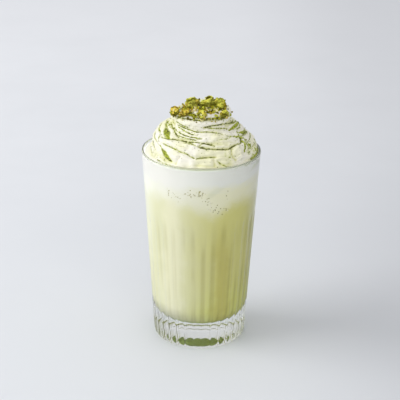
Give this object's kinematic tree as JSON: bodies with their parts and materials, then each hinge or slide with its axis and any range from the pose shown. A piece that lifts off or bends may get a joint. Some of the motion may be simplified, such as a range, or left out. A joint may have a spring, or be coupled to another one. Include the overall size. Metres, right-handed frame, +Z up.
{
  "type": "matcha frappe in a fluted glass",
  "caption": "Iced green tea drink in a fluted tumbler, with froth, a piped whipped cream swirl, powdered tea and chopped pistachio.",
  "frame": {"origin": "middle of the tumbler's foot, on the surface it stands on", "axes": "+Z up along the tumbler's axis, -Y towards the viewer of the front, +X to that viewer's right"},
  "size_m": [0.084, 0.084, 0.1821],
  "materials": {
    "clear_glass": "clear polished glass",
    "matcha_milk": "smooth opaque liquid, pale yellow green",
    "milk_froth": "fine wet foam, cream white with green streaks",
    "cream": "soft whipped cream dusted with green powder",
    "pistachio": "chopped nut, green flesh and brown skin"
  },
  "bodies": {
    "root": {"tumbler": "clear_glass", "matcha_drink": "matcha_milk", "froth": "milk_froth", "whipped_cream": "cream", "pistachio_tall": "pistachio", "pistachio_right": "pistachio", "pistachio_upper_left": "pistachio", "pistachio_left": "pistachio", "pistachio_front_left": "pistachio", "pistachio_front": "pistachio", "pistachio_front_right": "pistachio", "pistachio_back": "pistachio", "pistachio_back_left": "pistachio", "pistachio_back_right": "pistachio"}
  },
  "joints": []
}
